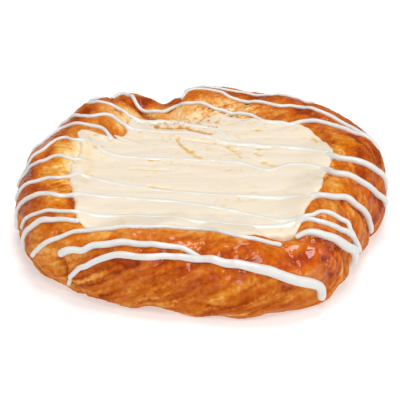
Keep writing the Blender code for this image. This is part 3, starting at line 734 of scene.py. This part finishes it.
# Icing
icing = {
    "sampling": 1.0,  # mm between the points that lead a line
    "spacing": 0.45 * mm,
    "rise": 0.14,  # how far the middle of a bead lies above the crust, in widths
    "sink": -1.15,  # the same over the soft cheese
    "spread": 1.5,  # how much wider it lies there
    "bridging": 60,  # steps over which it spans a dip
    "longestDrop": 2.2,  # mm between a spanned dip and the bead
    "unevenness": 0.14,
    "drift": 0.5,  # mm that the hand strays
    "sides": 14,
    # widths from the start to the end, then the line's way in plan, as if the crust lay flat, mm
    "lines": (
        ((0.9, 1.0), ((-4, 46), (2.5, 43), (7, 42.5), (14, 41), (18.5, 40), (24, 41.5), (31, 39.5),
            (38, 36))),
        ((1.1, 1.1, 1.2, 1.3, 1.5), ((-5, 36.5), (-3.5, 38), (-2, 40.5), (4.5, 40.5), (7.5, 39.5),
            (10.5, 37), (13.5, 36), (19.5, 34), (25.5, 32), (32, 31.5), (38, 28.5), (43.5, 24.5),
            (51, 17.5), (54, 14.5), (58, 12))),
        ((1.3, 1.3, 1.1, 1.1, 1.3, 1.5, 1.5), ((-35, 39), (-30, 39.5), (-24, 42), (-21, 39.5),
            (-18.5, 34.5), (-16, 32.5), (-12.5, 31.5), (-7, 34.5), (-3.5, 33), (1, 33), (8, 32),
            (15, 29.5), (18, 28.5), (21, 26), (27, 24.5), (30, 24), (33.5, 24.5), (39.5, 23), (45, 20),
            (50, 16.5), (54, 14.5), (57.5, 11.5))),
        ((1.1, 1.2, 1.4, 1.3), ((-35, 36), (-29, 32.5), (-26, 31.5), (-23, 29), (-21, 27), (-17.5, 26.5),
            (-11.5, 26), (-8, 25.5), (-5, 25), (-2, 23.5), (6, 20.5), (11, 14))),
        ((1.3, 1.3, 1.4, 1.4, 1.6, 2.1, 1.9), ((-46, 31.5), (-40, 29.5), (-36, 26.5), (-33, 25.5),
            (-30, 26), (-26.5, 26), (-24, 23.5), (-21.5, 21.5), (-17.5, 20), (-4.5, 19), (2.5, 17),
            (8.5, 13.5), (17, 11), (29.5, 10), (38.5, 6), (41.5, 2.5), (44, 0), (47.5, -0.5), (50, -1),
            (53.5, -1), (58, 0.5), (62, 1.5), (65, 1))),
        ((1.2, 1.3), ((-57, 16), (-47, 18.5), (-43, 23.5), (-36.5, 21.5), (-30.5, 20), (-28.5, 18.5),
            (-26, 13.5))),
        ((1.1, 1.1, 1.3, 1.4, 1.5, 2.1, 2.0), ((-61, 4), (-54, 5), (-48, 7), (-45.5, 9), (-43, 12),
            (-40, 13), (-37.5, 10.5), (-32.5, 11), (-30.5, 10.5), (-29, 7.5), (-20, 4), (-0.5, 2.5),
            (13.5, 1), (21.5, -3.5), (29, 0.5), (38.5, -3), (42, -8), (45, -8.5), (52, -8.5), (56, -7.5),
            (60, -6.5), (65.5, -5))),
        ((1.2, 1.3), ((-60, 1), (-57, 1), (-51.5, 2), (-47.5, 1), (-42, 2), (-39, 0.5), (-34, 1.5))),
        ((1.3, 1.3, 1.4, 1.5, 1.6, 2.1, 1.8), ((-61, -5), (-57, -8), (-51, -9), (-44.5, -9.5),
            (-41.5, -10), (-38, -8.5), (-35.5, -6.5), (-29, -9), (-18.5, -12.5), (1, -16.5), (20, -18),
            (32, -19.5), (38, -20), (44, -19), (47.5, -19), (52, -18), (56.5, -17), (61, -16.5),
            (66, -16))),
        ((1.4, 1.6, 1.5, 1.4, 1.4, 1.5, 1.8), ((-63, -18), (-61.5, -15.5), (-58.5, -13), (-53, -15),
            (-48.5, -17), (-45.5, -18), (-42.5, -20), (-39.5, -21), (-34.5, -18.5), (-22.5, -18.5),
            (-5, -21), (13, -26.5), (25.5, -31), (33.5, -31), (36, -29.5), (42, -30), (45.5, -30),
            (47, -32), (53, -30.5), (56.5, -30.5))),
        ((1.3, 1.2, 1.4, 1.4, 1.4, 1.7, 2.3), ((-58.5, -22.5), (-54, -23), (-50, -24.5), (-47.5, -25.5),
            (-43.5, -26.5), (-40.5, -27.5), (-34, -28.5), (-16.5, -28.5), (7, -32.5), (20, -34),
            (27.5, -33), (32, -32.5), (38, -33.5), (41, -34), (44, -33.5), (49, -32.5), (54, -31),
            (57, -32))),
        ((1.5, 1.8, 1.3), ((-63, -28.5), (-60, -27), (-56.5, -26.5), (-51.5, -28), (-46.5, -28.5),
            (-42.5, -30), (-36.5, -31.5), (-33.5, -32))),
        ((1.4, 2.2, 2.8, 2.9, 2.7), ((28.5, -38), (31, -37), (34, -37), (38, -37.5), (44, -37.5),
            (48.5, -37), (57, -34.5), (62, -37))),
        ((1.5, 1.3, 1.3, 1.3, 1.4), ((-57, -35), (-50, -35.5), (-42, -35.5), (-35.5, -35), (-29.5, -35.5),
            (-16.5, -36.5), (-9, -37), (1, -36), (8.5, -40), (14, -43), (19.5, -42), (25, -41))),
        ((2.4, 2.0, 2.1, 1.9, 1.6, 1.5), ((-43.5, -40), (-37.5, -40), (-34, -41), (-31, -40.5), (-28, -41),
            (-22, -41.5), (-16, -43), (-10, -44), (-4.5, -44.5), (-2, -45.5), (0.5, -47), (2.5, -48))),
        ((1.2, 1.7, 2.0, 1.9, 2.3, 2.9, 3.0, 2.7), ((-50, -48.5), (-42, -46.5), (-37, -45.5),
            (-33.5, -45.5), (-26.5, -45), (-20.5, -45.5), (-14.5, -47), (-8.5, -47), (-2.5, -47.5),
            (4, -48.5), (7.5, -50), (11.5, -51), (17.5, -52), (26.5, -51.5), (34.5, -51), (40, -51.5),
            (43.5, -53), (46.5, -55))),
    ),
}


def smoothWay(points, step):
    # points about a step apart on a smooth curve through the given ones
    points = [np.array(point, dtype=float) for point in points]
    ends = [2 * points[0] - points[1]] + points + [2 * points[-1] - points[-2]]
    way = []
    for start in range(1, len(points)):
        p0, p1, p2, p3 = ends[start - 1:start + 3]
        count = max(1, round(float(np.linalg.norm(p2 - p1)) / step))
        for number in range(count):
            t = number / count
            bend = (2 * p0 - 5 * p1 + 4 * p2 - p3) * t + (3 * p1 - p0 - 3 * p2 + p3) * t * t
            way.append(p1 + ((p2 - p0) + bend) * t * 0.5)
    way.append(points[-1])
    return way


wallAngles = np.arange(90.0, -91.0, -6.0)


def onPastry(x, y):
    # point on the pastry, from the plan with the crust unrolled outside its crest
    bearing = math.degrees(math.atan2(y, x)) % 360.0
    distance = math.hypot(x, y)
    turn = np.array([bearing])
    radii, heights = ropeSurface(np.full_like(wallAngles, bearing), wallAngles)
    if distance < poolEdge(turn)[0]:
        return x, y, float(cheeseLevel(np.array([x]), np.array([y]))[0])
    if distance < radii[0]:
        height = ropeSurface(turn, innerAngle(turn, distance))[1][0]
        return (*around(bearing, distance, height)[:2], float(height))
    lengths = np.concatenate(([0.0], np.cumsum(np.hypot(np.diff(radii), np.diff(heights)))))
    radius = np.interp(distance - radii[0], lengths, radii)
    height = np.interp(distance - radii[0], lengths, heights)
    return tuple(around(bearing, radius, height))


# Royal icing, piped warm: white, set with a soft sheen
icingMaterial, tree, shader = newMaterial("setSugarIcing")
place = addNode(tree, "ShaderNodeTexCoord").outputs["Object"]
clouds = addNode(tree, "ShaderNodeTexNoise", inputs={
    "Vector": place, "Scale": 1.0 / (4.0 * mm), "Detail": 2.0})
white = addNode(tree, "ShaderNodeValToRGB", {"stops": ((0.3, "dedcd8"), (0.7, "d6d4d0"))}, {"Fac": clouds})
meltedField = addNode(tree, "ShaderNodeAttribute", {"attribute_name": "melted"}).outputs["Fac"]
halfMelted = addNode(tree, "ShaderNodeMath", {"operation": "MULTIPLY"}, {0: meltedField, 1: 0.75})
creamy = addNode(tree, "ShaderNodeMix", {"data_type": "RGBA"},
                 {0: halfMelted, 6: white, 7: hexColour("e5e0d4")})
relief = roughen(tree, place, 0.6, 2.0, 0.12, 0.08)
setSockets(tree, shader, {"Base Color": creamy, "Normal": relief, "Roughness": 0.33, "IOR": 1.5,
                          "Subsurface Weight": 0.08, "Subsurface Radius": (1.0, 0.9, 0.8),
                          "Subsurface Scale": 0.8 * mm})


def nodeGroup(name, wanted):
    # an empty tree of geometry nodes with named inputs
    group = bpy.data.node_groups.new(name, "GeometryNodeTree")
    group.interface.new_socket("Geometry", in_out="INPUT", socket_type="NodeSocketGeometry")
    group.interface.new_socket("Geometry", in_out="OUTPUT", socket_type="NodeSocketGeometry")
    for label, kind in wanted.items():
        group.interface.new_socket(label, in_out="INPUT", socket_type="NodeSocket" + kind)
    return group


def addTree(thing, name, group, values):
    # a modifier that runs the tree with the given inputs
    modifier = thing.modifiers.new(name, "NODES")
    modifier.node_group = group
    for item in group.interface.items_tree:
        if item.item_type == "SOCKET" and item.in_out == "INPUT" and item.name in values:
            modifier[item.identifier] = values[item.name]


def asMesh(thing, name):
    # the evaluated object as a plain mesh, with its modifiers gone
    bpy.context.view_layer.update()
    evaluated = thing.evaluated_get(bpy.context.evaluated_depsgraph_get())
    mesh = bpy.data.meshes.new_from_object(evaluated)
    points = np.empty(3 * len(mesh.vertices))
    mesh.vertices.foreach_get("co", points)
    mesh.vertices.foreach_set("co", (keepInside(points.reshape(-1, 3) / mm) * mm).ravel())
    piece = newObject(name, mesh)
    bpy.data.objects.remove(thing)
    return piece


lead = bpy.data.curves.new("icingLead", "CURVE")
lead.dimensions = "3D"
for row, (widths, way) in enumerate(icing["lines"]):
    plan = smoothWay(way, icing["sampling"])
    spline = lead.splines.new("POLY")
    spline.points.add(len(plan) - 1)
    for number, (planX, planY) in enumerate(plan):
        planY += icing["drift"] * noise.noise((planX / 6.0, planY / 6.0, 7.0 * row))
        px, py, pz = onPastry(planX, planY)
        spline.points[number].co = ((px + originShift[0]) * mm, (py + originShift[1]) * mm, pz * mm, 1.0)
        share = number / (len(plan) - 1) * (len(widths) - 1)
        spline.points[number].radius = np.interp(share, range(len(widths)), widths) / 2.0 * mm

beads = nodeGroup("pipedBeads", {
    "Dough": "Object", "Cheese": "Object", "Spacing": "Float", "Rise": "Float", "Sink": "Float",
    "Spread": "Float", "Bridging": "Int", "Longest Drop": "Float", "Unevenness": "Float", "Sides": "Int",
    "Icing": "Material"})
given = addNode(beads, "NodeGroupInput").outputs
evenly = addNode(beads, "GeometryNodeResampleCurve", {"mode": "LENGTH"},
                 {"Curve": given["Geometry"], "Length": given["Spacing"]})
doughShape = addNode(beads, "GeometryNodeObjectInfo", inputs={"Object": given["Dough"]})
cheeseShape = addNode(beads, "GeometryNodeObjectInfo", inputs={"Object": given["Cheese"]})
under = addNode(beads, "GeometryNodeJoinGeometry")
beads.links.new(doughShape.outputs["Geometry"], under.inputs["Geometry"])
beads.links.new(cheeseShape.outputs["Geometry"], under.inputs["Geometry"])
nearest = addNode(beads, "GeometryNodeProximity", {"target_element": "FACES"}, {"Target": under})
facing = addNode(beads, "GeometryNodeInputNormal")
upward = addNode(beads, "GeometryNodeSampleNearestSurface", {"data_type": "FLOAT_VECTOR"},
                 {"Mesh": under, "Value": facing})
restPlace = addNode(beads, "GeometryNodeBlurAttribute", {"data_type": "FLOAT_VECTOR"},
                    {"Value": nearest.outputs["Position"], "Iterations": 3})
restUp = addNode(beads, "GeometryNodeBlurAttribute", {"data_type": "FLOAT_VECTOR"},
                 {"Value": upward, "Iterations": 6})
thickness = addNode(beads, "GeometryNodeInputRadius")
# over the cheese the bead sinks in and melts into it
toDough = addNode(beads, "GeometryNodeProximity", {"target_element": "FACES"},
                  {"Target": doughShape.outputs["Geometry"]})
toCheese = addNode(beads, "GeometryNodeProximity", {"target_element": "FACES"},
                   {"Target": cheeseShape.outputs["Geometry"]})
nearer = addNode(beads, "ShaderNodeMath", {"operation": "SUBTRACT"},
                 {0: toDough.outputs["Distance"], 1: toCheese.outputs["Distance"]})
overCheese = addNode(beads, "ShaderNodeMapRange", inputs={"Value": nearer, "From Min": 0.1 * mm,
                                                          "From Max": 0.9 * mm})
melted = addNode(beads, "GeometryNodeBlurAttribute", {"data_type": "FLOAT"},
                 {"Value": overCheese, "Iterations": 6})
riseHere = addNode(beads, "ShaderNodeMapRange", inputs={"Value": melted, "To Min": given["Rise"],
                                                        "To Max": given["Sink"]})
riseLength = addNode(beads, "ShaderNodeMath", {"operation": "MULTIPLY"}, {0: thickness, 1: riseHere})
riseTwice = addNode(beads, "ShaderNodeMath", {"operation": "MULTIPLY"}, {0: riseLength, 1: 2.0})
# it spans narrow dips instead of going down into them
spanning = addNode(beads, "GeometryNodeBlurAttribute", {"data_type": "FLOAT_VECTOR"},
                   {"Value": nearest.outputs["Position"], "Iterations": given["Bridging"]})
above = addNode(beads, "ShaderNodeVectorMath", {"operation": "SUBTRACT"}, {0: spanning, 1: restPlace})
dip = addNode(beads, "ShaderNodeVectorMath", {"operation": "DOT_PRODUCT"}, {0: above, 1: restUp})
spanned = addNode(beads, "ShaderNodeClamp", inputs={"Value": dip, "Max": given["Longest Drop"]})
liftHere = addNode(beads, "ShaderNodeMath", {"operation": "ADD"}, {0: riseTwice, 1: spanned})
lifted = addNode(beads, "ShaderNodeVectorMath", {"operation": "SCALE"},
                 {"Vector": restUp, "Scale": liftHere})
resting = addNode(beads, "ShaderNodeVectorMath", {"operation": "ADD"}, {0: restPlace, 1: lifted})
marked = addNode(beads, "GeometryNodeStoreNamedAttribute", {"data_type": "FLOAT", "domain": "POINT"},
                 {"Geometry": evenly, "Name": "melted", "Value": melted})
laid = addNode(beads, "GeometryNodeSetPosition", inputs={"Geometry": marked, "Position": resting})
# ends round off like a drop, and the width wavers as the hand does
lineLength = addNode(beads, "GeometryNodeSplineLength").outputs["Length"]
lengthHere = addNode(beads, "GeometryNodeSplineParameter").outputs["Length"]
lengthLeft = addNode(beads, "ShaderNodeMath", {"operation": "SUBTRACT"}, {0: lineLength, 1: lengthHere})
toEnd = addNode(beads, "ShaderNodeMath", {"operation": "MINIMUM"}, {0: lengthHere, 1: lengthLeft})
inRadii = addNode(beads, "ShaderNodeMath", {"operation": "DIVIDE", "use_clamp": True},
                  {0: toEnd, 1: thickness})
fromFull = addNode(beads, "ShaderNodeMath", {"operation": "SUBTRACT"}, {0: 1.0, 1: inRadii})
squared = addNode(beads, "ShaderNodeMath", {"operation": "POWER"}, {0: fromFull, 1: 2.0})
rest = addNode(beads, "ShaderNodeMath", {"operation": "SUBTRACT"}, {0: 1.02, 1: squared})
roundEnd = addNode(beads, "ShaderNodeMath", {"operation": "SQRT"}, {0: rest})
waver = addNode(beads, "ShaderNodeTexNoise", inputs={"Scale": 1.0 / (5.0 * mm), "Detail": 2.0})
waverCentred = addNode(beads, "ShaderNodeMath", {"operation": "SUBTRACT"}, {0: waver, 1: 0.5})
waverScaled = addNode(beads, "ShaderNodeMath", {"operation": "MULTIPLY"},
                      {0: waverCentred, 1: given["Unevenness"]})
waverPlus = addNode(beads, "ShaderNodeMath", {"operation": "MULTIPLY_ADD"},
                    {0: waverScaled, 1: 2.0, 2: 1.0})
shaped = addNode(beads, "ShaderNodeMath", {"operation": "MULTIPLY"}, {0: roundEnd, 1: waverPlus})
# the share melted is read back as stored, because the bead has moved since
meltedHere = addNode(beads, "GeometryNodeInputNamedAttribute", {"data_type": "FLOAT"}, {"Name": "melted"})
spreading = addNode(beads, "ShaderNodeMath", {"operation": "MULTIPLY_ADD"},
                    {0: meltedHere, 1: given["Spread"], 2: 1.0})
spreadRadius = addNode(beads, "ShaderNodeMath", {"operation": "MULTIPLY"}, {0: spreading, 1: thickness})
finalRadius = addNode(beads, "ShaderNodeMath", {"operation": "MULTIPLY"}, {0: shaped, 1: spreadRadius})
profile = addNode(beads, "GeometryNodeCurvePrimitiveCircle",
                  inputs={"Resolution": given["Sides"], "Radius": 1.0})
tube = addNode(beads, "GeometryNodeCurveToMesh", inputs={
    "Curve": laid, "Profile Curve": profile, "Scale": finalRadius, "Fill Caps": True})
rounded = addNode(beads, "GeometryNodeSetShadeSmooth", inputs={"Geometry": tube})
realised = addNode(beads, "GeometryNodeRealizeInstances", inputs={"Geometry": rounded})
finished = addNode(beads, "GeometryNodeSetMaterial",
                   inputs={"Geometry": realised, "Material": given["Icing"]})
addNode(beads, "NodeGroupOutput", inputs={"Geometry": finished})

leadObject = newObject("icingLead", lead)
addTree(leadObject, "piping", beads, {
    "Dough": bakedDough, "Cheese": creamCheese, "Spacing": icing["spacing"], "Rise": icing["rise"],
    "Sink": icing["sink"], "Spread": icing["spread"], "Bridging": icing["bridging"],
    "Longest Drop": icing["longestDrop"] * mm, "Unevenness": icing["unevenness"], "Sides": icing["sides"],
    "Icing": icingMaterial})
icingLines = asMesh(leadObject, "icingLines")
print("icing:", len(icingLines.data.polygons), "faces")

# Loose crumbs, where the crust breaks into the cheese
loose = {
    "density": 0.9e6,
    "smallest": (0.16, 0.12, 0.10),  # mm
    "largest": (0.5, 0.42, 0.28),
    "roughness": 0.3,  # mm
    "tilt": 0.25,
    "seed": 4,
}

# Dry broken crust, each crumb with its own tone from pale crumb to brown crust
crumbMaterial, tree, shader = newMaterial("toastedCrumb")
tone = addNode(tree, "ShaderNodeAttribute", {"attribute_name": "tone"}).outputs["Fac"]
toasting = addNode(tree, "ShaderNodeValToRGB", {"stops": ((0.0, "edcf9c"), (1.0, "cb8a48"))}, {"Fac": tone})
setSockets(tree, shader, {"Base Color": toasting, "Roughness": 0.7})

# crumbs over the dough and the cheese, as dense as the field says, made real and roughened
scatter = nodeGroup("toastedCrumbs", {
    "Dough": "Object", "Cheese": "Object", "Density": "Float", "Smallest": "Vector", "Largest": "Vector",
    "Roughness": "Float", "Seed": "Int", "Material": "Material"})
given = addNode(scatter, "NodeGroupInput").outputs
under = addNode(scatter, "GeometryNodeJoinGeometry")
for label in ("Dough", "Cheese"):
    ground = addNode(scatter, "GeometryNodeObjectInfo", inputs={"Object": given[label]})
    scatter.links.new(ground.outputs["Geometry"], under.inputs["Geometry"])
where = addNode(scatter, "GeometryNodeInputNamedAttribute", {"data_type": "FLOAT"}, {"Name": "crumbled"})
density = addNode(scatter, "ShaderNodeMath", {"operation": "MULTIPLY"}, {0: where, 1: given["Density"]})
scattered = addNode(scatter, "GeometryNodeDistributePointsOnFaces", {"distribute_method": "RANDOM"},
                    {"Mesh": under, "Density": density, "Seed": given["Seed"]})
sizes = addNode(scatter, "FunctionNodeRandomValue", {"data_type": "FLOAT_VECTOR"},
                {0: given["Smallest"], 1: given["Largest"], "Seed": given["Seed"]})
crumb = addNode(scatter, "GeometryNodeMeshIcoSphere", inputs={"Radius": 1.0, "Subdivisions": 2})
placed = addNode(scatter, "GeometryNodeInstanceOnPoints", inputs={
    "Points": scattered, "Instance": crumb, "Rotation": scattered.outputs["Rotation"], "Scale": sizes})
spin = addNode(scatter, "FunctionNodeRandomValue", {"data_type": "FLOAT_VECTOR"}, {
    0: (-loose["tilt"], -loose["tilt"], -math.pi), 1: (loose["tilt"], loose["tilt"], math.pi),
    "Seed": given["Seed"]})
turned = addNode(scatter, "GeometryNodeRotateInstances", inputs={"Instances": placed, "Rotation": spin})
shade = addNode(scatter, "FunctionNodeRandomValue", {"data_type": "FLOAT"}, {"Seed": given["Seed"]})
toned = addNode(scatter, "GeometryNodeStoreNamedAttribute", {"data_type": "FLOAT", "domain": "INSTANCE"},
                {"Geometry": turned, "Name": "tone", "Value": shade})
real = addNode(scatter, "GeometryNodeRealizeInstances", inputs={"Geometry": toned})
rough = addNode(scatter, "ShaderNodeTexNoise", inputs={"Scale": 1.0 / (0.5 * mm), "Detail": 1.0})
centred = addNode(scatter, "ShaderNodeVectorMath", {"operation": "SUBTRACT"},
                  {0: rough.outputs["Color"], 1: (0.5, 0.5, 0.5)})
pushed = addNode(scatter, "ShaderNodeVectorMath", {"operation": "SCALE"},
                 {"Vector": centred, "Scale": given["Roughness"]})
broken = addNode(scatter, "GeometryNodeSetPosition", inputs={"Geometry": real, "Offset": pushed})
smooth = addNode(scatter, "GeometryNodeSetShadeSmooth", inputs={"Geometry": broken})
done = addNode(scatter, "GeometryNodeSetMaterial", inputs={"Geometry": smooth, "Material": given["Material"]})
addNode(scatter, "NodeGroupOutput", inputs={"Geometry": done})

base = newObject("toastedCrumbs", bpy.data.meshes.new("toastedCrumbs"))
addTree(base, "scattering", scatter, {
    "Dough": bakedDough, "Cheese": creamCheese, "Density": loose["density"],
    "Smallest": [size * mm for size in loose["smallest"]],
    "Largest": [size * mm for size in loose["largest"]], "Roughness": loose["roughness"] * mm,
    "Seed": loose["seed"], "Material": crumbMaterial})
toastedCrumbs = asMesh(base, "toastedCrumbs")
print("toasted crumbs:", len(toastedCrumbs.data.polygons), "faces")

# Attach the pieces to the root body, hiding the parts of the model that the dough and the cheese replace
for piece, node, slot in ((bakedDough, "pastry", "baked_dough"),
                          (creamCheese, "cheese_filling", "cream_cheese")):
    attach(piece, "root")
    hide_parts(node)
for piece, slot in ((icingLines, "icing"), (toastedCrumbs, "baked_dough")):
    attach(piece, "root")

# Studio
studio = {
    "ambient": 0.22,
    "table": "d2d2d2",
    "tableGlow": 0.42,
    # place, width and depth in m, power
    "softboxes": {
        "keySoftbox": ((0.05, -0.5, 0.95), 0.32, 0.32, 3.0),
        "overheadSoftbox": ((0.04, 0.1, 1.1), 0.42, 0.42, 5.8),
        "frontFill": ((0.2, -1.2, 0.5), 0.5, 0.42, 3.6),
        "sideSoftbox": ((0.98, -0.2, 0.56), 0.6, 0.54, 3.2),
        "leftFill": ((-1.0, -0.4, 0.6), 0.4, 0.4, 2.2),
    },
    "lens": 205.5,
    "elevation": 33.0,  # degrees that the camera stands above the table
    "distance": 0.7,  # m
    "aim": (-0.53, 0.64, 9.2),  # mm
}
for name, (place, width, depth, power) in studio["softboxes"].items():
    light = bpy.data.lights.new(name, "AREA")
    light.shape = "RECTANGLE"
    light.size = width
    light.size_y = depth
    light.energy = power
    lamp = newObject(name, light)
    lamp.location = place
    lamp.rotation_euler = (-Vector(place)).to_track_quat("-Z", "Y").to_euler()

world = bpy.data.worlds.new("paleStudio")
world.use_nodes = True
setSockets(world.node_tree, world.node_tree.nodes["Background"],
           {"Color": hexColour("ffffff"), "Strength": studio["ambient"]})
bpy.context.scene.world = world

floorMaterial, tree, shader = newMaterial("paleTable")
setSockets(tree, shader, {"Base Color": hexColour(studio["table"]), "Roughness": 0.8,
                          "Emission Color": hexColour("ffffff"), "Emission Strength": studio["tableGlow"]})
floorMesh = bpy.data.meshes.new("floor")
corners = [(-3, -3, -0.0003), (3, -3, -0.0003), (3, 3, -0.0003), (-3, 3, -0.0003)]
floorMesh.from_pydata(corners, [], [(0, 1, 2, 3)])
floorMesh.materials.append(floorMaterial)
floor = newObject("floor", floorMesh)
floor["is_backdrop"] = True

camera = bpy.data.cameras.new("camera")
camera.lens = studio["lens"]
camera.sensor_width = 36.0
camera.clip_start = 0.01
cameraObject = newObject("camera", camera)
elevation = math.radians(studio["elevation"])
aim = Vector(studio["aim"]) * mm
away = Vector((0.0, -math.cos(elevation), math.sin(elevation))) * studio["distance"]
cameraObject.location = aim + away
cameraObject.rotation_euler = (math.pi / 2.0 - elevation, 0.0, 0.0)
bpy.context.scene.camera = cameraObject
bpy.context.scene.view_settings.view_transform = "Standard"

low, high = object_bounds()
print("box of the part:", [round(value / mm, 2) for value in (*cadLow, *cadHigh)])
print("box of the look:", [round(value / mm, 2) for value in (*low, *high)])
